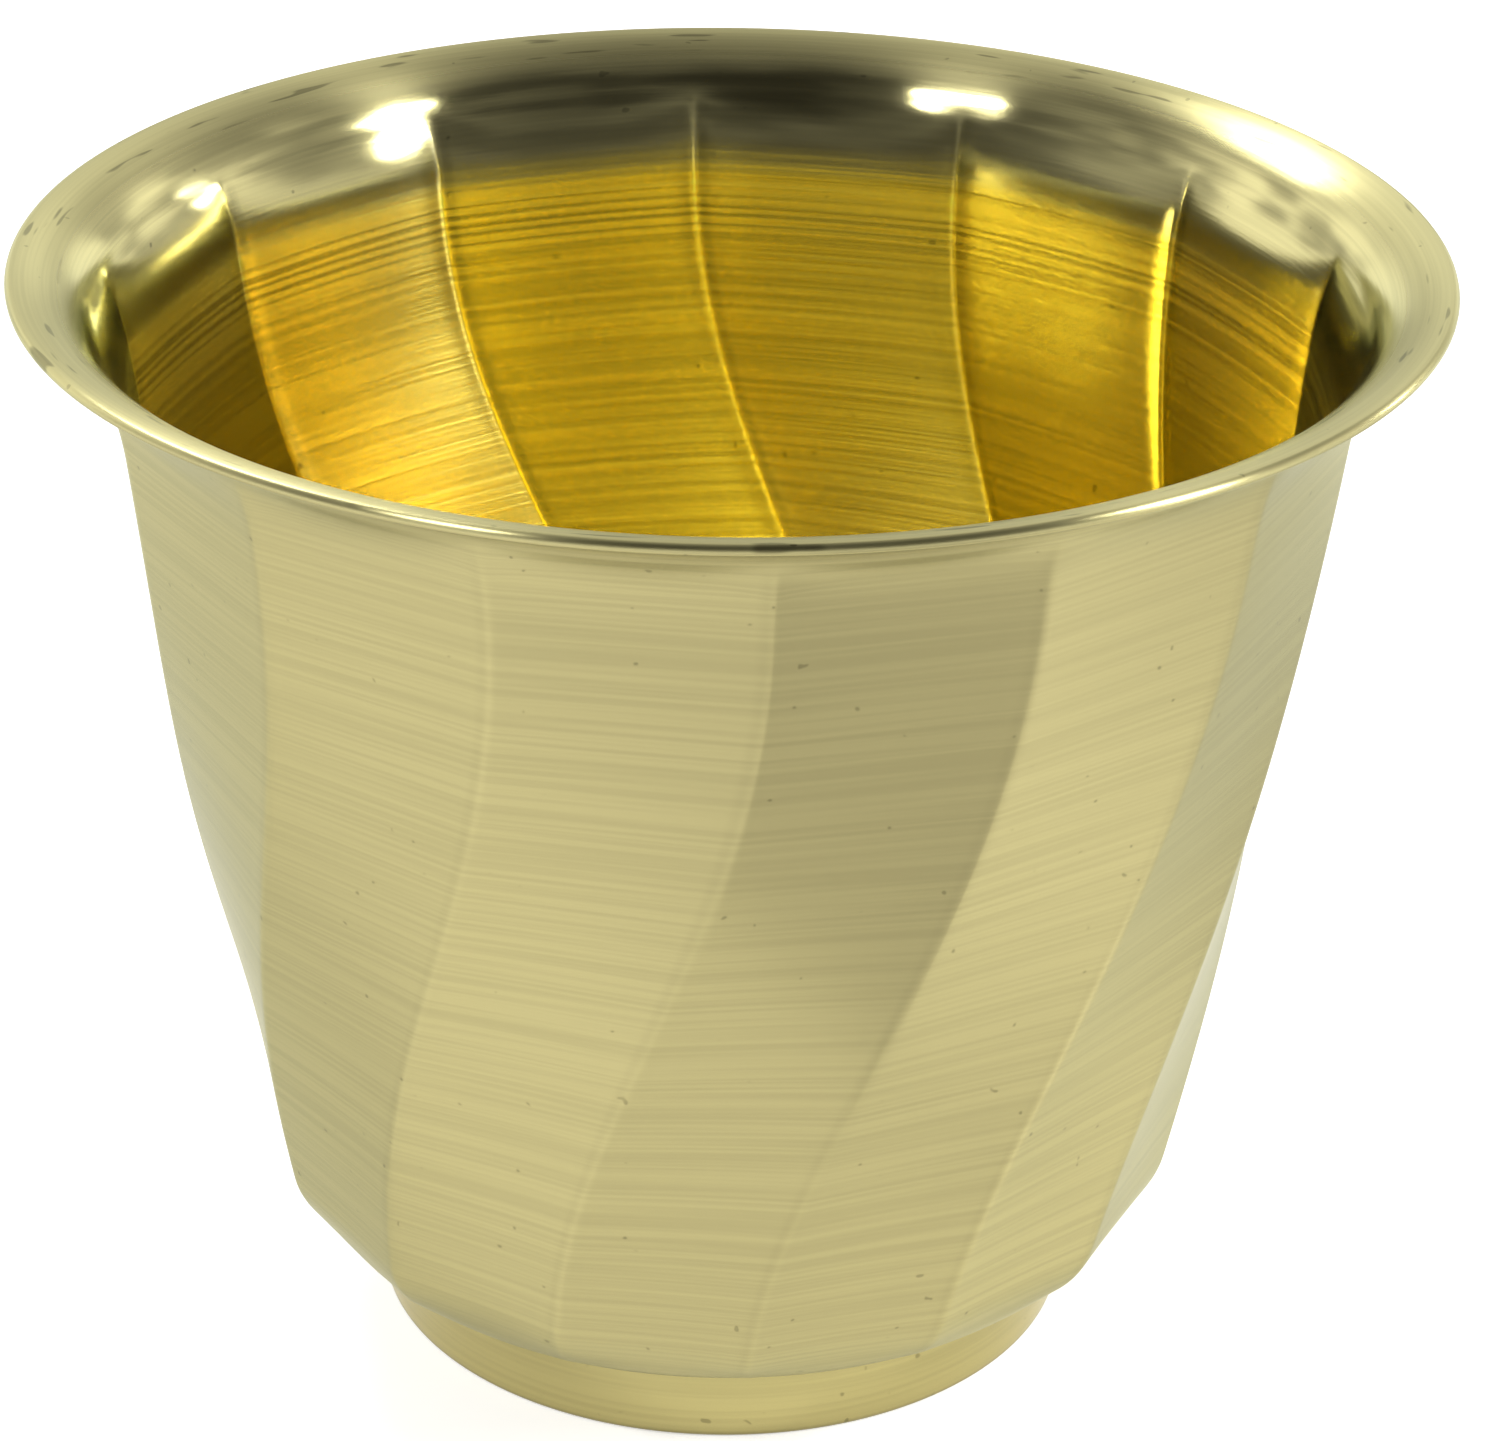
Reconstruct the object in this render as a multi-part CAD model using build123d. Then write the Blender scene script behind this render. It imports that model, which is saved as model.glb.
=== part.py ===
from build123d import *
import os
from math import acos, atan2, cos, hypot, pi, radians, sin

# Spiral-fluted brass pot on a ring foot.
# Millimetres, +Z up. The origin is the centre of the circle that the foot
# stands on, and Z is the axis that the pot was spun about.

# overall sizes
rim_diameter = 100.0          # outside, over the lip
height = 81.0                 # standing plane to the top of the lip
foot_diameter = 51.4          # outside of the foot ring
foot_height = 7.0             # standing plane to the underside of the body

# foot ring and its solder
foot_sheet = 1.4              # thickness of the ring
foot_edge = 0.4               # rounding of its standing edge
solder_leg = 1.2              # leg of the solder fillet inside the ring

# body sheet
sheet = 0.8                   # thickness of the spun brass
base_overhang = 0.6           # flat bottom left showing outside the foot ring
base_flat_radius = foot_diameter / 2 + base_overhang
corner_radius = 7.5           # outside radius of the bottom corner
wall_bow = 2.4                # half of the turn that the wall makes, degrees
flare_radius = 30.0           # outside radius of the slow bend that starts the flare
flare_slope = 72.0            # climb where the slow bend passes into the tight one, degrees
lip_radius = 5.6              # outside radius of the tight bend under the lip
lip_tilt = 4.0                # climb that the lip still has at its edge, degrees

# flutes pressed into the wall
flute_count = 14
flute_depth = 0.9             # how far the middle of a flute is pressed in
flute_twist = 26.0            # turn of a crease between corner and flare, degrees
flute_lean = 1.2              # how late the creases start to lean, going down
flute_start = -137.5          # where the first crease runs up into the flare, degrees
flute_crowding = 4.3          # how far hand indexing crowds the creases to the front, degrees
fade_low = 3.0                # climb over which the flutes deepen from the corner up
fade_high = 4.0               # climb over which they fade out below the lip

# ends of the fluted stretch and the sections it is lofted through
low_slope = radians(14.0)     # climb of the corner where the flutes begin
high_slope = radians(58.0)    # climb of the flare where they have faded out
corner_levels = 6
wall_levels = 16
flare_levels = 4
lip_levels = 3


def solve_wall():
    """Mean climb and chord of the wall, so that the rim comes out at its size."""
    tilt = radians(lip_tilt)
    bend = radians(flare_slope)
    bow = radians(wall_bow)
    climb = radians(80.0)
    for _ in range(40):
        low = climb - bow
        high = climb + bow
        run = rim_diameter / 2 - sheet / 2 * (1 - sin(tilt)) - base_flat_radius
        run -= corner_radius * sin(low)
        run -= flare_radius * (sin(high) - sin(bend)) + lip_radius * (sin(bend) - sin(tilt))
        rise = height - sheet / 2 * (1 + cos(tilt)) - foot_height
        rise -= corner_radius * (1 - cos(low))
        rise -= flare_radius * (cos(bend) - cos(high)) + lip_radius * (cos(tilt) - cos(bend))
        climb = atan2(rise, run)
    return climb, hypot(run, rise)


wall_climb, wall_chord = solve_wall()
wall_low = wall_climb - radians(wall_bow)
wall_high = wall_climb + radians(wall_bow)
wall_radius = wall_chord / (2 * sin(radians(wall_bow)))


def corner_point(slope, inset):
    """Point of the bottom corner that climbs at this slope, inset from the outside."""
    reach = corner_radius - inset
    return base_flat_radius + reach * sin(slope), foot_height + corner_radius - reach * cos(slope)


def wall_point(slope, inset):
    """Point of the gently bowed wall that climbs at this slope."""
    r, z = corner_point(wall_low, 0)
    r += wall_radius * (sin(slope) - sin(wall_low)) - inset * sin(slope)
    z += wall_radius * (cos(wall_low) - cos(slope)) + inset * cos(slope)
    return r, z


def flare_point(slope, inset):
    """Point of the flare that climbs at this slope, on its slow bend or its tight one."""
    r, z = wall_point(wall_high, 0)
    bend = radians(flare_slope)
    slow = max(slope, bend)
    tight = min(slope, bend)
    r += flare_radius * (sin(wall_high) - sin(slow)) + lip_radius * (sin(bend) - sin(tight))
    z += flare_radius * (cos(slow) - cos(wall_high)) + lip_radius * (cos(tight) - cos(bend))
    return r - inset * sin(slope), z + inset * cos(slope)


flute_bottom = corner_point(low_slope, sheet)[1]
flute_top = flare_point(high_slope, 0)[1]


def pressed(z):
    """Depth of the flutes at this height, nought at both ends."""
    rise = min(max((z - flute_bottom) / fade_low, 0), 1)
    fall = min(max((flute_top - z) / fade_high, 0), 1)
    return flute_depth * rise * (2 - rise) * fall * (2 - fall)


def crease_angle(z):
    """Turn of the first crease at this height: upright at both ends, leaning between."""
    share = min(max((flute_top - fade_high - z) / (flute_top - fade_high - foot_height), 0), 1)
    return flute_start - flute_twist * (share * share * (3 - 2 * share)) ** flute_lean


def flute_angle(z, count):
    """Turn of crease number count, or of the middle of a flute where it is a half, at this height."""
    even = crease_angle(z) + 360 / flute_count * count
    return even - flute_crowding * cos(radians(even))


def fluted_section(r, z):
    """Level section of the wall, one shallow arc from each crease to the next."""
    crest = [Vector(r, 0, z).rotate(Axis.Z, flute_angle(z, n)) for n in range(flute_count)]
    middle = Vector(r - pressed(z), 0, z)
    arcs = []
    for n in range(flute_count):
        dip = middle.rotate(Axis.Z, flute_angle(z, n + 0.5))
        arcs.append(ThreePointArc(crest[n], dip, crest[(n + 1) % flute_count]))
    return Wire([arc.edge() for arc in arcs])


def fluted_core(inset, top_slope):
    """Solid inside the fluted face of the sheet at this inset, its sections closest at both ends."""
    bend = radians(flare_slope)
    corner_step = (wall_low - low_slope) / corner_levels
    flare_step = (bend - wall_high) / flare_levels
    lip_step = (top_slope - bend) / lip_levels
    points = [corner_point(low_slope + corner_step * n, inset) for n in range(corner_levels)]
    for n in range(wall_levels):
        share = (1 - cos(pi * n / wall_levels)) / 2
        points.append(wall_point(wall_low + (wall_high - wall_low) * share, inset))
    points += [flare_point(wall_high + flare_step * n, inset) for n in range(flare_levels)]
    points += [flare_point(bend + lip_step * n, inset) for n in range(lip_levels + 1)]
    return Solid.make_loft([fluted_section(r, z) for r, z in points])


def turned(*edges):
    """Solid of revolution of a closed outline drawn in radius and height."""
    outline = Wire([edge.edge() for edge in edges])
    return revolve(Plane.XZ * Face(outline), Axis.Z)


def dish(inset):
    """Low dish below the flutes, down to the face of the flat bottom at this inset."""
    rim_r, rim_z = corner_point(low_slope, inset)
    flat_z = foot_height + inset
    bend = ThreePointArc((base_flat_radius, flat_z), corner_point(low_slope / 2, inset), (rim_r, rim_z))
    floor = Line((0, flat_z), (base_flat_radius, flat_z))
    return turned(floor, bend, Line((rim_r, rim_z), (0, rim_z)), Line((0, rim_z), (0, flat_z)))


# the flare's inner face reaches the top of the flutes at a steeper slope than the outer
inner_high_slope = acos(lip_radius * cos(high_slope) / (lip_radius + sheet))


def lip():
    """Plain flare above the flutes, with a rounded edge."""
    tilt = radians(lip_tilt)
    edge_r, edge_z = flare_point(tilt, sheet / 2)
    nose = (edge_r + sheet / 2 * cos(tilt), edge_z + sheet / 2 * sin(tilt))
    start = flare_point(high_slope, 0)
    end = flare_point(inner_high_slope, sheet)
    outer = ThreePointArc(start, flare_point((high_slope + tilt) / 2, 0), flare_point(tilt, 0))
    edge = ThreePointArc(flare_point(tilt, 0), nose, flare_point(tilt, sheet))
    inner = ThreePointArc(flare_point(tilt, sheet), flare_point((inner_high_slope + tilt) / 2, sheet), end)
    return turned(outer, edge, inner, Line(end, start))


def pot_body():
    """Spun and fluted sheet: closed bottom, wall and lip in one piece."""
    outside = fluted_core(0, high_slope) + dish(0)
    hollow = fluted_core(sheet, inner_high_slope) + dish(sheet)
    return outside - hollow + lip()


def foot_ring():
    """Upright band that the pot stands on, its standing edges rounded."""
    outer = foot_diameter / 2
    band = Cylinder(outer, foot_height) - Cylinder(outer - foot_sheet, foot_height)
    band = Pos(0, 0, foot_height / 2) * band
    return fillet(band.edges().filter_by(GeomType.CIRCLE).group_by(Axis.Z)[0], foot_edge)


def foot_solder():
    """Hollow fillet of solder in the corner between ring and bottom."""
    ring = foot_diameter / 2 - foot_sheet
    low = (ring, foot_height - solder_leg)
    high = (ring - solder_leg, foot_height)
    sink = solder_leg * (1 - sin(radians(45)))
    face = ThreePointArc(low, (ring - sink, foot_height - sink), high)
    return turned(face, Line(high, (ring, foot_height)), Line((ring, foot_height), low))


os.makedirs("parts", exist_ok=True)
for name, piece in (("pot_body", pot_body()), ("foot_ring", foot_ring()), ("foot_solder", foot_solder())):
    piece.label = name
    export_step(piece, f"parts/{name}.step")
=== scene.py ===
from math import atan2, cos, exp, hypot, pi, radians, sin

import bmesh
import bpy
from mathutils import Matrix, Vector, noise


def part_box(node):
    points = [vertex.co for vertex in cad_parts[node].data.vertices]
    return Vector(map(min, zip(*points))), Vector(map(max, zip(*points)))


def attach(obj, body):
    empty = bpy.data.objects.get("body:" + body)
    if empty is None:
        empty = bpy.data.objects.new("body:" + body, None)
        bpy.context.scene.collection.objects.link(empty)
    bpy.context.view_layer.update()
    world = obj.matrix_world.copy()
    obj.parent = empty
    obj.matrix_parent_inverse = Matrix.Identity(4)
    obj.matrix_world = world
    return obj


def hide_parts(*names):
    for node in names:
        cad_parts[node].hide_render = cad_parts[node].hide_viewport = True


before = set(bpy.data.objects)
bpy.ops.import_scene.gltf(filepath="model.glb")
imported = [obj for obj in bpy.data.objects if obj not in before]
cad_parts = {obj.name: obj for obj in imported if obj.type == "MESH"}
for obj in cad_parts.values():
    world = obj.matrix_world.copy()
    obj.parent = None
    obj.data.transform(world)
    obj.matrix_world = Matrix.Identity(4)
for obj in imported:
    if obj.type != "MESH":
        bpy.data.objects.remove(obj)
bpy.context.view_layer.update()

mm = 0.001
scene = bpy.context.scene

# ---------------------------------------------------------------- camera
# A short telephoto in front of the pot, looking down into its mouth and
# turned and leaned by a hair, as a camera in the hand is.
camera_place = (0.0, -311.8 * mm, 198.3 * mm)
look_down = radians(26.21)
look_right = radians(0.30)
camera_lean = radians(0.81)
camera_data = bpy.data.cameras.new("camera")
camera_data.sensor_width = 36.0
camera_data.lens = 114.9
camera_data.clip_start = 10 * mm
camera = bpy.data.objects.new("camera", camera_data)
aim = Matrix.Rotation(-look_right, 4, "Z") @ Matrix.Rotation(pi / 2 - look_down, 4, "X")
camera.matrix_world = Matrix.Translation(camera_place) @ aim @ Matrix.Rotation(camera_lean, 4, "Z")
scene.collection.objects.link(camera)
scene.camera = camera

# ---------------------------------------------------------------- studio
# A white table that runs out of sight, lit a little less in front and on the
# right, in a pale uneven room that is darker above and behind the camera. A
# tall window stands on the right, with soft lamps left, right and behind.
scene.view_settings.view_transform = "Standard"


def new_material(name):
    """A material with its Principled shader, ready for its textures."""
    material = bpy.data.materials.new(name)
    material.use_nodes = True
    shader = material.node_tree.nodes["Principled BSDF"]
    return material, material.node_tree, shader


def add_piece(name, bm, *materials):
    """A finished bmesh as a smooth-shaded object at the origin."""
    mesh = bpy.data.meshes.new(name)
    bm.to_mesh(mesh)
    bm.free()
    mesh.shade_smooth()
    for material in materials:
        mesh.materials.append(material)
    piece = bpy.data.objects.new(name, mesh)
    scene.collection.objects.link(piece)
    return piece


def add_node(tree, kind, values=(), **settings):
    """A shader node with its settings and, by input name or number, its values or links."""
    node = tree.nodes.new(kind)
    for name, value in settings.items():
        setattr(node, name, value)
    for name, value in dict(values).items():
        if isinstance(value, bpy.types.NodeSocket):
            tree.links.new(value, node.inputs[name])
        else:
            node.inputs[name].default_value = value
    return node


def ramp(tree, value, low, high, at_low=0.0, at_high=1.0):
    """A smooth change from one value to another as an input rises."""
    values = {"Value": value, "From Min": low, "From Max": high, "To Min": at_low, "To Max": at_high}
    return add_node(tree, "ShaderNodeMapRange", values, interpolation_type="SMOOTHSTEP").outputs["Result"]


def combine(tree, operation, first, *others):
    """Values or links taken together one after the other, as in a sum or a product."""
    for other in others:
        first = add_node(tree, "ShaderNodeMath", {0: first, 1: other}, operation=operation).outputs[0]
    return first


def reach_along(tree, vector, way):
    """How far a vector reaches along a direction."""
    values = {0: vector, 1: way}
    return add_node(tree, "ShaderNodeVectorMath", values, operation="DOT_PRODUCT").outputs["Value"]


def soft_noise(tree, place, scale, detail):
    """Even, cloudy noise between 0 and 1."""
    values = {"Vector": place, "Scale": scale, "Detail": detail}
    return add_node(tree, "ShaderNodeTexNoise", values).outputs["Fac"]


table_half = 3.0              # metres, well past what the camera sees
front_turn = radians(27)      # the table is least lit towards this side
front_way = (sin(front_turn), -cos(front_turn), 0)
table_white, table_tree, table_shader = new_material("table_white")
table_shader.inputs["Base Color"].default_value = (0.8, 0.8, 0.8, 1)
table_shader.inputs["Roughness"].default_value = 0.9
table_shader.inputs["Emission Color"].default_value = (1.0, 0.995, 0.985, 1)
table_place = add_node(table_tree, "ShaderNodeTexCoord").outputs["Object"]
table_axes = add_node(table_tree, "ShaderNodeSeparateXYZ", {0: table_place})
table_x = table_axes.outputs["X"]
table_y = table_axes.outputs["Y"]

# the table's own glow fades to the front, and again to the right of the pot
to_front = reach_along(table_tree, table_place, front_way)
front_glow = ramp(table_tree, to_front, 60 * mm, 130 * mm, 0.56, 0.18)
right_edge = ramp(table_tree, table_x, 72 * mm, 105 * mm)
beside_pot = ramp(table_tree, table_y, 90 * mm, 130 * mm, 1.0, 0.0)
deeper_back = ramp(table_tree, table_y, -70 * mm, 60 * mm, 0.5, 0.9)
right_shade = combine(table_tree, "MULTIPLY", right_edge, beside_pot, deeper_back)
right_glow = combine(table_tree, "SUBTRACT", 1.0, right_shade)

# a fan from just past the pot towards the front side has no glow at all
table_way = add_node(table_tree, "ShaderNodeVectorMath", {0: table_place}, operation="NORMALIZE").outputs[0]
fan = ramp(table_tree, reach_along(table_tree, table_way, front_way), 0.94, 0.99)
past_pot = ramp(table_tree, to_front, 62 * mm, 90 * mm)
fan_shade = combine(table_tree, "MULTIPLY", fan, past_pot)
fan_glow = ramp(table_tree, fan_shade, 0, 1, 1.0, 0.0)
glow = combine(table_tree, "MULTIPLY", front_glow, right_glow, fan_glow)
table_tree.links.new(glow, table_shader.inputs["Emission Strength"])
table_bm = bmesh.new()
bmesh.ops.create_grid(table_bm, x_segments=4, y_segments=4, size=table_half)
table = add_piece("table", table_bm, table_white)

world = bpy.data.worlds.new("room")
world.use_nodes = True
scene.world = world
room = world.node_tree
room_light = room.nodes["Background"]
room_light.inputs["Color"].default_value = (1.0, 0.99, 0.97, 1)
direction = add_node(room, "ShaderNodeTexCoord").outputs["Generated"]
way = add_node(room, "ShaderNodeSeparateXYZ", {0: direction})
darker_front = ramp(room, way.outputs["Y"], -0.65, 0.5, 0.16, 1.25)
darker_ceiling = ramp(room, way.outputs["Z"], 0.4, 0.85, 1.0, 0.3)
uneven = ramp(room, soft_noise(room, direction, scale=3.2, detail=1.5), 0.4, 0.62, 0.6, 1.45)
room_strength = combine(room, "MULTIPLY", darker_front, darker_ceiling, uneven)
room.links.new(room_strength, room_light.inputs["Strength"])

lamp_aim = Vector((0, 0, 60 * mm))      # on the axis, high inside the pot


def add_lamp(name, turn, climb, distance, width, height, watts):
    """A soft box that faces the pot. Turn is from the front, to the right."""
    light = bpy.data.lights.new(name, "AREA")
    light.shape = "RECTANGLE"
    light.size = width
    light.size_y = height
    light.energy = watts
    lamp = bpy.data.objects.new(name, light)
    outward = Vector((sin(turn) * cos(climb), -cos(turn) * cos(climb), sin(climb)))
    lamp.location = lamp_aim + outward * distance
    lamp.rotation_euler = (-outward).to_track_quat("-Z", "Y").to_euler()
    scene.collection.objects.link(lamp)


add_lamp("window", radians(75), radians(32), distance=1.0, width=0.15, height=0.50, watts=8.5)
add_lamp("lamp_left", radians(-52), radians(48), distance=1.1, width=0.27, height=0.09, watts=4.5)
add_lamp("lamp_right", radians(119), radians(14), distance=1.2, width=0.16, height=0.10, watts=1.5)
add_lamp("lamp_back", radians(-155), radians(42), distance=1.2, width=0.40, height=0.22, watts=4)

# ---------------------------------------------------------------- pot body
# One disc of sheet brass, spun over a former into bottom, wall and flared
# lip. Fourteen leaning flutes were then pressed in, so that the wall is a
# ring of nearly flat panels that meet in ridges outside and creases inside.
pot_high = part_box("pot_body")[1]
foot_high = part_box("foot_ring")[1]
rim_radius = pot_high.x
rim_height = pot_high.z
foot_height = foot_high.z
base_overhang = 0.6 * mm      # of the flat bottom, past the foot ring
flat_radius = foot_high.x + base_overhang
sheet = 0.8 * mm
corner_radius = 7.5 * mm
wall_bow = radians(2.4)       # half of the turn that the wall makes
flare_radius = 30.0 * mm      # of the slow bend that starts the flare
flare_slope = radians(72.0)   # climb where the slow bend passes into the tight one
lip_radius = 5.6 * mm         # of the tight bend under the lip
lip_tilt = radians(4.0)

# the wall's climb is settled by trying, so that the lip comes out at its size
wall_climb = radians(80.0)
for _ in range(40):
    wall_low = wall_climb - wall_bow
    wall_high = wall_climb + wall_bow
    run = rim_radius - sheet / 2 * (1 - sin(lip_tilt)) - flat_radius
    run -= corner_radius * sin(wall_low) + flare_radius * (sin(wall_high) - sin(flare_slope))
    run -= lip_radius * (sin(flare_slope) - sin(lip_tilt))
    rise = rim_height - sheet / 2 * (1 + cos(lip_tilt)) - foot_height
    rise -= corner_radius * (1 - cos(wall_low)) + flare_radius * (cos(flare_slope) - cos(wall_high))
    rise -= lip_radius * (cos(lip_tilt) - cos(flare_slope))
    wall_climb = atan2(rise, run)
wall_radius = hypot(run, rise) / (2 * sin(wall_bow))


def corner_point(slope, inset):
    """Point of the bottom corner that climbs at this slope, inset from the outside."""
    reach = corner_radius - inset
    return flat_radius + reach * sin(slope), foot_height + corner_radius - reach * cos(slope)


def wall_point(slope, inset):
    """Point of the gently bowed wall that climbs at this slope."""
    r, z = corner_point(wall_low, 0)
    r += wall_radius * (sin(slope) - sin(wall_low)) - inset * sin(slope)
    z += wall_radius * (cos(wall_low) - cos(slope)) + inset * cos(slope)
    return r, z


def flare_point(slope, inset):
    """Point of the flare that climbs at this slope, on its slow bend or its tight one."""
    r, z = wall_point(wall_high, 0)
    slow = max(slope, flare_slope)
    tight = min(slope, flare_slope)
    r += flare_radius * (sin(wall_high) - sin(slow)) + lip_radius * (sin(flare_slope) - sin(tight))
    z += flare_radius * (cos(slow) - cos(wall_high)) + lip_radius * (cos(tight) - cos(flare_slope))
    return r - inset * sin(slope), z + inset * cos(slope)


# rows of the mesh, going up
bottom_rows = 14
corner_rows = 16
outer_wall_rows = 66
inner_wall_rows = 84
flare_rows = 12
lip_rows = 22
edge_rows = 8


def steps(start, end, count):
    """Evenly spaced values from start up to, but not including, end."""
    return [start + (end - start) * n / count for n in range(count)]


def sheet_side(inset, wall_rows):
    """Outline of one face of the sheet, from the middle of the bottom to the lip."""
    points = [(r, foot_height + inset) for r in steps(0, flat_radius, bottom_rows)]
    points += [corner_point(slope, inset) for slope in steps(0, wall_low, corner_rows)]
    points += [wall_point(slope, inset) for slope in steps(wall_low, wall_high, wall_rows)]
    points += [flare_point(slope, inset) for slope in steps(wall_high, flare_slope, flare_rows)]
    points += [flare_point(slope, inset) for slope in steps(flare_slope, lip_tilt, lip_rows)]
    return points


# the whole outline of the sheet, marked 0 where it is outside and 1 where inside
edge_r, edge_z = flare_point(lip_tilt, sheet / 2)
edge = []
for turn in steps(lip_tilt - pi / 2, lip_tilt + pi / 2, edge_rows):
    edge.append((edge_r + sheet / 2 * cos(turn), edge_z + sheet / 2 * sin(turn)))
outline = [(0.0, r, z) for r, z in sheet_side(0, outer_wall_rows)]
outline += [(0.0 if n < edge_rows / 2 else 1.0, r, z) for n, (r, z) in enumerate(edge)]
outline += [(1.0, *flare_point(lip_tilt, sheet))]
outline += [(1.0, r, z) for r, z in reversed(sheet_side(sheet, inner_wall_rows))]

flute_count = 14
columns = 24                  # of the mesh, from crease to crease
column_crowding = 0.75        # of those columns towards the creases, where the surface bends most
flute_depth = 0.9 * mm
flute_twist = radians(26.0)
flute_lean = 1.2
flute_start = radians(-137.5)
flute_crowding = radians(4.3)  # creases stand closer in front than at the back
fade_low = 3.0 * mm
fade_high = 4.0 * mm
flute_bottom = corner_point(radians(14.0), sheet)[1]
flute_top = flare_point(radians(58.0), 0)[1]
ridge_round = (0.35 * mm, 0.08 * mm)      # outside, inside
shoulder_rise = (0.02 * mm, 0.07 * mm)    # outside, inside
shoulder_width = 0.9 * mm
panel_swell = 0.20 * mm       # of the inner face, less flat than the outer one
wave_depth = 0.05 * mm        # slow unevenness that the pressing leaves
wave_around = 3.1             # of its waves to a radian, about
wave_up = 26 * mm             # height of one wave
ridge_highlight_width = 0.22 * mm        # width of the painted highlight along a ridge
ridge_shade_offset = 0.6 * mm      # how far the painted shade line beside it stands off
ridge_shade_width = 0.3 * mm
mark_layers = ("inside", "ridge", "beside_ridge")
axis_reach = 0.1 * mm         # nothing this close to the axis is turned or pressed


def pressed(z):
    """How far the middle of a flute is pressed in at this height."""
    rise = min(max((z - flute_bottom) / fade_low, 0), 1)
    fall = min(max((flute_top - z) / fade_high, 0), 1)
    return flute_depth * rise * (2 - rise) * fall * (2 - fall)


def crease_angle(z):
    """Turn of the first crease at this height."""
    share = min(max((flute_top - fade_high - z) / (flute_top - fade_high - foot_height), 0), 1)
    return flute_start - flute_twist * (share * share * (3 - 2 * share)) ** flute_lean


def bell(distance, width):
    """One at no distance, falling away smoothly to nought past the width."""
    return exp(-((distance / width) ** 2))


def press_flutes(bm):
    """Turn each level's columns onto the creases and press in the panels between them."""
    side_layer, ridge_layer, beside_layer = [bm.verts.layers.float[name] for name in mark_layers]
    for vert in bm.verts:
        x, y, z = vert.co
        r = hypot(x, y)
        if r < axis_reach:
            continue
        inside = round(vert[side_layer])
        turns = atan2(y, x) / (2 * pi) * flute_count
        flute = turns // 1
        share = turns - flute
        share -= column_crowding * sin(2 * pi * share) / (2 * pi)
        pitch = 2 * pi * r / flute_count
        from_crease = min(share, 1 - share) * pitch
        past_crease = (share if share < 0.5 else share - 1) * pitch
        rounded = hypot(from_crease, ridge_round[inside]) / pitch
        depth = pressed(z)
        strength = depth / flute_depth
        press = depth * 4 * rounded * (1 - rounded)
        press += strength * shoulder_rise[inside] * (1 - bell(from_crease, shoulder_width))
        press -= strength * inside * panel_swell * 4 * share * (1 - share)
        angle = crease_angle(z) + (flute + share) * 2 * pi / flute_count
        angle -= flute_crowding * cos(angle)
        wave = noise.noise(Vector((cos(angle) * wave_around, sin(angle) * wave_around, z / wave_up)))
        r -= press - strength * wave_depth * wave
        # where the painted highlight along a ridge and the painted shade line beside it go
        vert[ridge_layer] = strength * bell(from_crease, ridge_highlight_width)
        vert[beside_layer] = strength * bell(past_crease + ridge_shade_offset, ridge_shade_width)
        vert.co = (r * cos(angle), r * sin(angle), z)


def spin_round(bm, count):
    """Spin an outline once round the axis in this many steps, with its faces outwards."""
    bmesh.ops.spin(
        bm, geom=bm.verts[:] + bm.edges[:], cent=(0, 0, 0), axis=(0, 0, 1),
        angle=2 * pi, steps=count, use_merge=True)
    bmesh.ops.remove_doubles(bm, verts=bm.verts, dist=0.001 * mm)
    bmesh.ops.recalc_face_normals(bm, faces=bm.faces)


pot_bm = bmesh.new()
for name in mark_layers:
    pot_bm.verts.layers.float.new(name)
inside_layer = pot_bm.verts.layers.float["inside"]
profile = []
for inside, r, z in outline:
    vert = pot_bm.verts.new((r, 0, z))
    vert[inside_layer] = inside
    profile.append(vert)
for lower, upper in zip(profile, profile[1:]):
    pot_bm.edges.new((lower, upper))
spin_round(pot_bm, flute_count * columns)
press_flutes(pot_bm)


def turning_marks():
    """Group: rings that the spinning tool and the polishing cloth leave, round the axis."""
    lip_from = 44 * mm        # past this radius the rings follow one another outwards
    bottom_to = 25 * mm       # and within this one inwards, elsewhere up the wall
    group = bpy.data.node_groups.new("turning_marks", "ShaderNodeTree")
    sockets = group.interface
    sockets.new_socket("Lines per mm", in_out="INPUT", socket_type="NodeSocketFloat")
    sockets.new_socket("Break up", in_out="INPUT", socket_type="NodeSocketFloat")
    sockets.new_socket("Height", in_out="OUTPUT", socket_type="NodeSocketFloat")
    into = group.nodes.new("NodeGroupInput")
    out = group.nodes.new("NodeGroupOutput")
    place = add_node(group, "ShaderNodeTexCoord").outputs["Object"]
    axes = add_node(group, "ShaderNodeSeparateXYZ", {0: place})
    x, y, z = axes.outputs
    level = add_node(group, "ShaderNodeCombineXYZ", {"X": x, "Y": y}).outputs[0]
    radius = add_node(group, "ShaderNodeVectorMath", {0: level}, operation="LENGTH").outputs["Value"]
    on_lip = combine(group, "MAXIMUM", combine(group, "SUBTRACT", radius, lip_from), 0)
    on_bottom = combine(group, "MAXIMUM", combine(group, "SUBTRACT", bottom_to, radius), 0)
    along = combine(group, "SUBTRACT", combine(group, "ADD", z, on_lip), on_bottom)
    lines_per_metre = combine(group, "DIVIDE", into.outputs["Lines per mm"], mm)
    rows = combine(group, "MULTIPLY", along, lines_per_metre)
    round_x = combine(group, "MULTIPLY", x, into.outputs["Break up"])
    round_y = combine(group, "MULTIPLY", y, into.outputs["Break up"])
    point = add_node(group, "ShaderNodeCombineXYZ", {"X": round_x, "Y": round_y, "Z": rows}).outputs[0]
    group.links.new(soft_noise(group, point, scale=1.0, detail=1.0), out.inputs["Height"])
    return group


turning = turning_marks()


def marks(tree, lines, break_up):
    """The turning marks of one coarseness."""
    values = {"Lines per mm": lines, "Break up": break_up}
    return add_node(tree, "ShaderNodeGroup", values, node_tree=turning).outputs[0]


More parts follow.
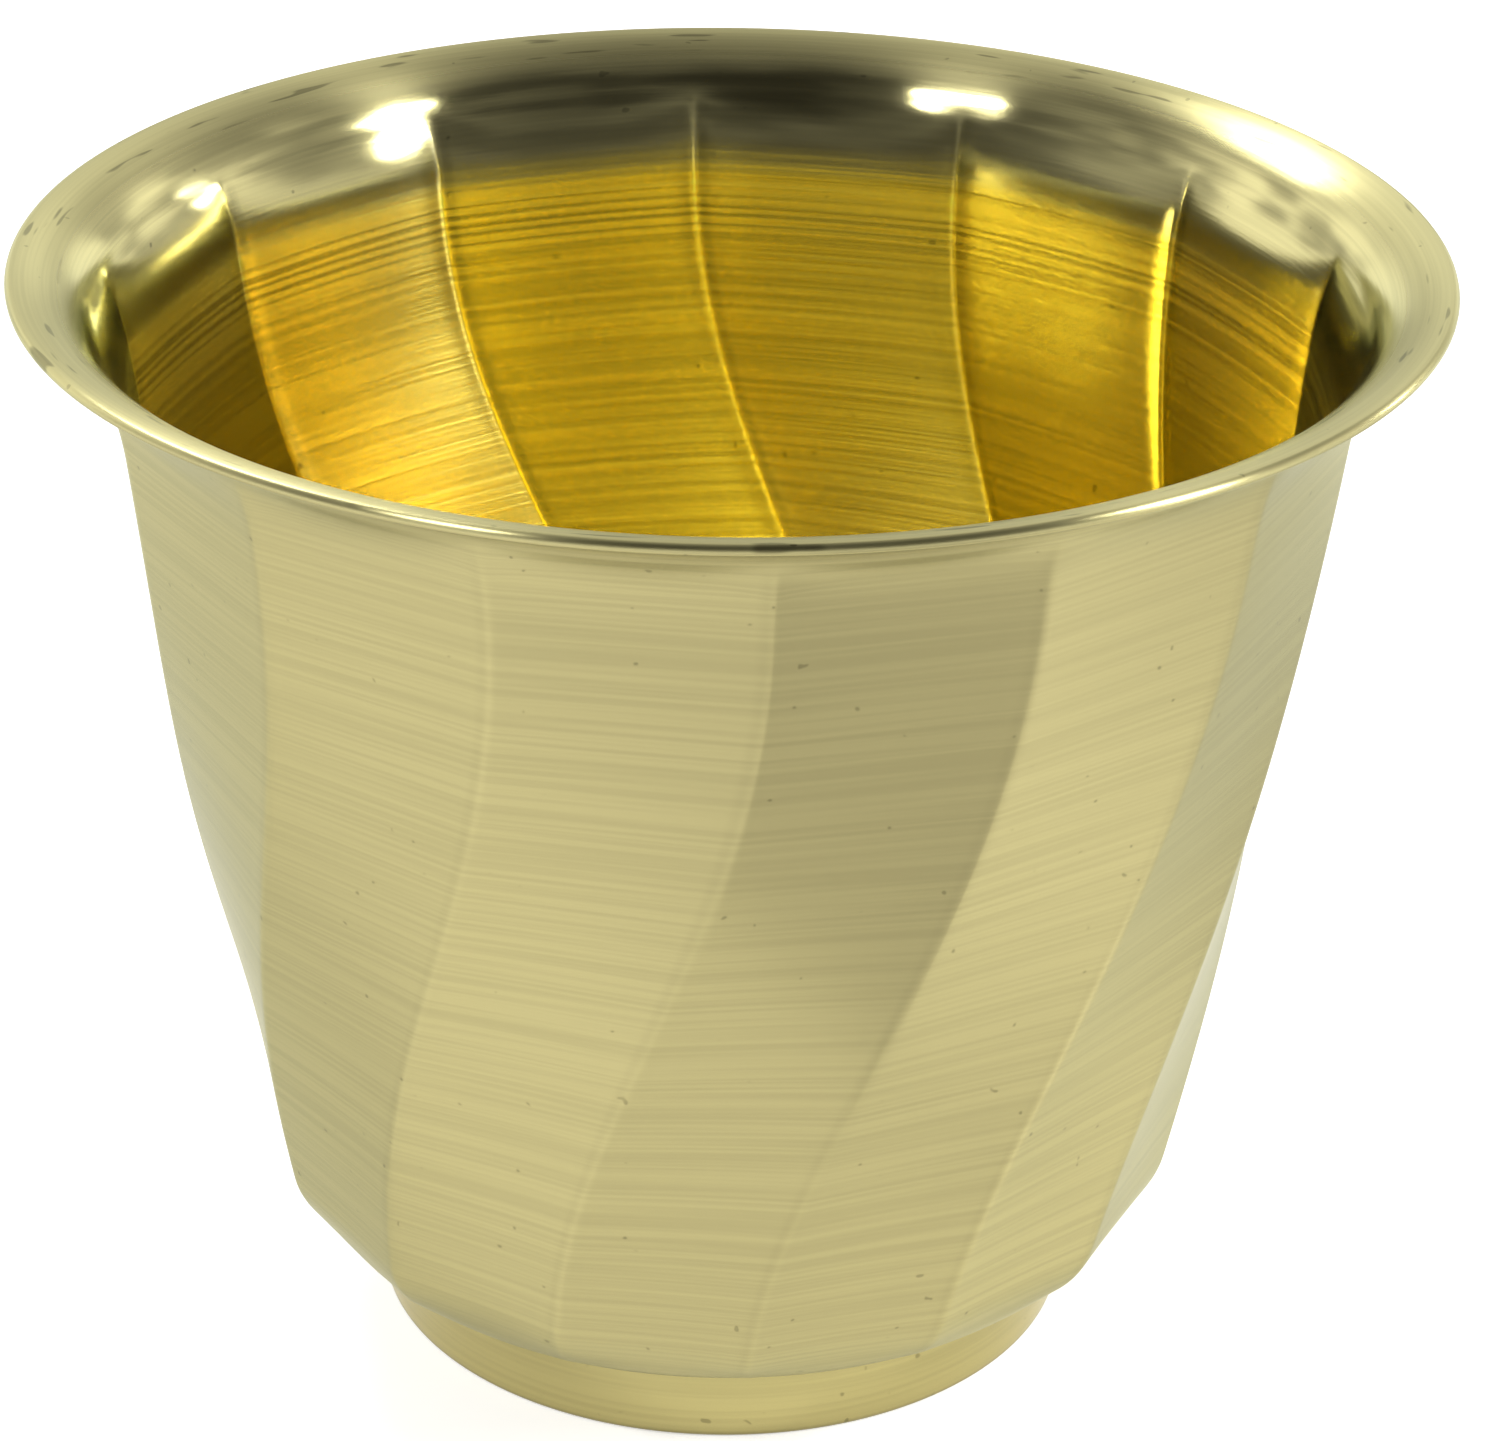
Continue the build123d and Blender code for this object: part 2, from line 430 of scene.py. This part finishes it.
brass_body, body_tree, body_shader = new_material("brass_body")
body_shader.inputs["Metallic"].default_value = 1.0
body_shader.inputs["Anisotropic"].default_value = 0.92
body_shader.inputs["Anisotropic Rotation"].default_value = 0.25
body_shader.inputs["Specular Tint"].default_value = (0.75, 0.78, 0.72, 1)
tangent = add_node(body_tree, "ShaderNodeTangent", direction_type="RADIAL", axis="Z")
body_tree.links.new(tangent.outputs["Tangent"], body_shader.inputs["Tangent"])

# the inner wall is painted a deeper gold than the same sheet outside, standing in for light that bounces
# between the walls, up to a soft edge just above the start of the flare, and paler past it
gold_top = 71.2 * mm
pale_from = 73.4 * mm
body_place = add_node(body_tree, "ShaderNodeTexCoord").outputs["Object"]
body_z = add_node(body_tree, "ShaderNodeSeparateXYZ", {0: body_place}).outputs["Z"]
inner_side = add_node(body_tree, "ShaderNodeAttribute", attribute_name="inside").outputs["Fac"]
below_lip = ramp(body_tree, body_z, gold_top, pale_from, 1.0, 0.0)
inner_wall = combine(body_tree, "MULTIPLY", inner_side, below_lip)


def by_side(mask, outside, inside):
    """One value outside, where the mask is nought, and another inside, where it is one."""
    return ramp(body_tree, mask, 0, 1, outside, inside)


# relief: tool rings of three widths and the slanting scratches of a rag
micron = 0.001 * mm
fine = marks(body_tree, lines=3.4, break_up=34)
medium = marks(body_tree, lines=1.4, break_up=16)
broad = marks(body_tree, lines=0.25, break_up=18)
fine_height = combine(body_tree, "MULTIPLY", fine, by_side(inner_wall, 2.5 * micron, 26 * micron))
medium_height = combine(body_tree, "MULTIPLY", medium, by_side(inner_wall, 3 * micron, 30 * micron))
broad_height = combine(body_tree, "MULTIPLY", broad, by_side(inner_wall, 12 * micron, 40 * micron))
rag = add_node(body_tree, "ShaderNodeMapping", {"Vector": body_place})
rag.inputs["Rotation"].default_value = (0, radians(38), 0)
rag.inputs["Scale"].default_value = (260, 260, 2600)
scratches = soft_noise(body_tree, rag.outputs[0], scale=1.0, detail=2.0)
scratch_height = combine(body_tree, "MULTIPLY", scratches, by_side(inner_side, 1.5 * micron, 6 * micron))
relief = combine(body_tree, "ADD", fine_height, medium_height, scratch_height, broad_height)
body_bump = add_node(body_tree, "ShaderNodeBump", {"Height": relief, "Strength": 1.0, "Distance": 1.0})
body_tree.links.new(body_bump.outputs["Normal"], body_shader.inputs["Normal"])


def mix_colors(tree, mask, color, other):
    """A colour that passes into another as the mask rises."""
    values = {"Factor": mask, "A": color, "B": other}
    return add_node(tree, "ShaderNodeMix", values, data_type="RGBA").outputs["Result"]


def tone_color(tree, color, tone):
    """A colour made lighter or darker by a tone that changes over the surface."""
    values = {0: color, "Scale": tone}
    return add_node(tree, "ShaderNodeVectorMath", values, operation="SCALE").outputs[0]


outer_brass = (0.41, 0.362, 0.172, 1)
lip_brass = (0.50, 0.455, 0.22, 1)
# painted light: this deep gold of the inner wall stands in for light bounced between its walls
painted_bounce_gold = (0.76, 0.64, 0.14, 1)
pale_brass = mix_colors(body_tree, inner_side, outer_brass, lip_brass)
body_color = mix_colors(body_tree, inner_wall, pale_brass, painted_bounce_gold)

# brush lines, bolder rings towards the top inside, and a painted highlight along each crease beside a
# painted shade line
fine_share = combine(body_tree, "MULTIPLY", fine, 0.6)
medium_share = combine(body_tree, "MULTIPLY", medium, 0.4)
streak = combine(body_tree, "ADD", fine_share, medium_share)
brushed = ramp(body_tree, streak, 0.35, 0.65, 0.94, 1.05)
near_top = ramp(body_tree, body_z, 63 * mm, 71 * mm, 0.25, 0.9)
rings = ramp(body_tree, marks(body_tree, lines=2.2, break_up=9), 0.38, 0.62, -0.3, 0.3)
ringed = combine(body_tree, "MULTIPLY", rings, inner_wall, near_top)
ridge = add_node(body_tree, "ShaderNodeAttribute", attribute_name="ridge").outputs["Fac"]
beside_ridge = add_node(body_tree, "ShaderNodeAttribute", attribute_name="beside_ridge").outputs["Fac"]
# painted highlight along the ridges and painted shade beside them, standing in for light on the rounded
# creases
ridge_highlight = combine(body_tree, "MULTIPLY", ridge, by_side(inner_side, 0.04, 0.35))
beside_ridge_shade = combine(body_tree, "MULTIPLY", beside_ridge, by_side(inner_side, -0.05, -0.22))

# dark scuffs on top of the lip, and small pits all over
lip_top = ramp(body_tree, body_z, 79.6 * mm, 80.4 * mm)
scuffs = ramp(body_tree, marks(body_tree, lines=1.1, break_up=160), 0.66, 0.72)
scuffed = combine(body_tree, "MULTIPLY", scuffs, inner_side, lip_top, -0.45)
pits = soft_noise(body_tree, body_place, scale=1300.0, detail=0.0)
pitted = ramp(body_tree, pits, 0.83, 0.87, 0.0, -0.3)
tone = combine(body_tree, "ADD", brushed, ringed, ridge_highlight, beside_ridge_shade, scuffed, pitted)
body_tree.links.new(tone_color(body_tree, body_color, tone), body_shader.inputs["Base Color"])

# smoother inside than outside, with a satin lip
side_rough = by_side(inner_side, 0.27, 0.13)
wall_rough = combine(body_tree, "MULTIPLY", inner_wall, 0.08)
lip_satin = ramp(body_tree, body_z, 78.6 * mm, 80.4 * mm, 0.0, 0.17)
lip_rough = combine(body_tree, "MULTIPLY", inner_side, lip_satin)
body_rough = combine(body_tree, "ADD", side_rough, wall_rough, lip_rough)
body_tree.links.new(body_rough, body_shader.inputs["Roughness"])

pot = add_piece("pot_body_brass", pot_bm, brass_body)
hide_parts("pot_body")
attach(pot, "root")

# ---------------------------------------------------------------- foot ring
# A band of thicker brass, bent into a hoop, soldered under the bottom and
# turned true, so that it is smoother and yellower than the body.
foot_sheet = 1.4 * mm
foot_edge = 0.4 * mm          # rounding of the edges that it stands on
foot_rows = 12
foot_edge_rows = 5
hoop_columns = 192
foot_outer = foot_high.x
foot_inner = foot_outer - foot_sheet
foot_line = [(foot_outer, z) for z in steps(foot_height, foot_edge, foot_rows)]
for turn in steps(0, pi / 2, foot_edge_rows):
    foot_line.append((foot_outer - foot_edge * (1 - cos(turn)), foot_edge * (1 - sin(turn))))
for turn in steps(pi / 2, pi, foot_edge_rows):
    foot_line.append((foot_inner + foot_edge * (1 + cos(turn)), foot_edge * (1 - sin(turn))))
foot_line += [(foot_inner, z) for z in steps(foot_edge, foot_height, foot_rows)]
foot_line += [(foot_inner, foot_height)]


def hoop(line):
    """A closed outline in radius and height, spun into a solid ring."""
    bm = bmesh.new()
    corners = [bm.verts.new((r, 0, z)) for r, z in line]
    for first, second in zip(corners, corners[1:] + corners[:1]):
        bm.edges.new((first, second))
    spin_round(bm, hoop_columns)
    return bm


brass_foot, foot_tree, foot_shader = new_material("brass_foot")
foot_brass = (0.42, 0.365, 0.155)
foot_shader.inputs["Metallic"].default_value = 1.0
foot_shader.inputs["Roughness"].default_value = 0.25
foot_place = add_node(foot_tree, "ShaderNodeTexCoord").outputs["Object"]
foot_z = add_node(foot_tree, "ShaderNodeSeparateXYZ", {0: foot_place}).outputs["Z"]
foot_turned = ramp(foot_tree, marks(foot_tree, lines=2.0, break_up=20), 0.35, 0.65, 0.95, 1.04)
foot_pits = soft_noise(foot_tree, foot_place, scale=1100.0, detail=0.0)
foot_pitted = ramp(foot_tree, foot_pits, 0.78, 0.84, 1.0, 0.65)
# the ring is darker towards the bottom edge that it stands on
foot_darker_base = ramp(foot_tree, foot_z, 0.15 * mm, 0.6 * mm, 0.6, 1.0)
foot_shadow = ramp(foot_tree, foot_z, foot_height - 1.6 * mm, foot_height, 1.0, 0.82)
foot_tone = combine(foot_tree, "MULTIPLY", foot_turned, foot_pitted, foot_darker_base, foot_shadow)
foot_tree.links.new(tone_color(foot_tree, foot_brass, foot_tone), foot_shader.inputs["Base Color"])

foot = add_piece("foot_ring_brass", hoop(foot_line), brass_foot)
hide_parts("foot_ring")
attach(foot, "root")

# ---------------------------------------------------------------- foot solder
# A hollow fillet of yellow solder in the corner between ring and bottom,
# where it ran in when the ring was heated. It stays dull and grainy.
solder_low, solder_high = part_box("foot_solder")
solder_outer = solder_high.x
solder_leg = solder_high.z - solder_low.z
solder_rows = 8
solder_line = [(solder_outer, solder_high.z), (solder_outer, solder_low.z)]
for turn in steps(0, pi / 2, solder_rows)[1:]:
    inwards = solder_leg * (1 - cos(turn))
    down = solder_leg * (1 - sin(turn))
    solder_line.append((solder_outer - inwards, solder_high.z - down))
solder_line.append((solder_outer - solder_leg, solder_high.z))

dull_solder, solder_tree, solder_shader = new_material("dull_solder")
solder_shader.inputs["Base Color"].default_value = (0.55, 0.50, 0.30, 1)
solder_shader.inputs["Metallic"].default_value = 1.0
solder_shader.inputs["Roughness"].default_value = 0.5
grain_place = add_node(solder_tree, "ShaderNodeTexCoord").outputs["Object"]
grain = soft_noise(solder_tree, grain_place, scale=900.0, detail=3.0)
grain_bump = add_node(solder_tree, "ShaderNodeBump", {"Height": grain, "Distance": 0.1 * mm})
solder_tree.links.new(grain_bump.outputs["Normal"], solder_shader.inputs["Normal"])

solder = add_piece("foot_solder_run", hoop(solder_line), dull_solder)
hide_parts("foot_solder")
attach(solder, "root")
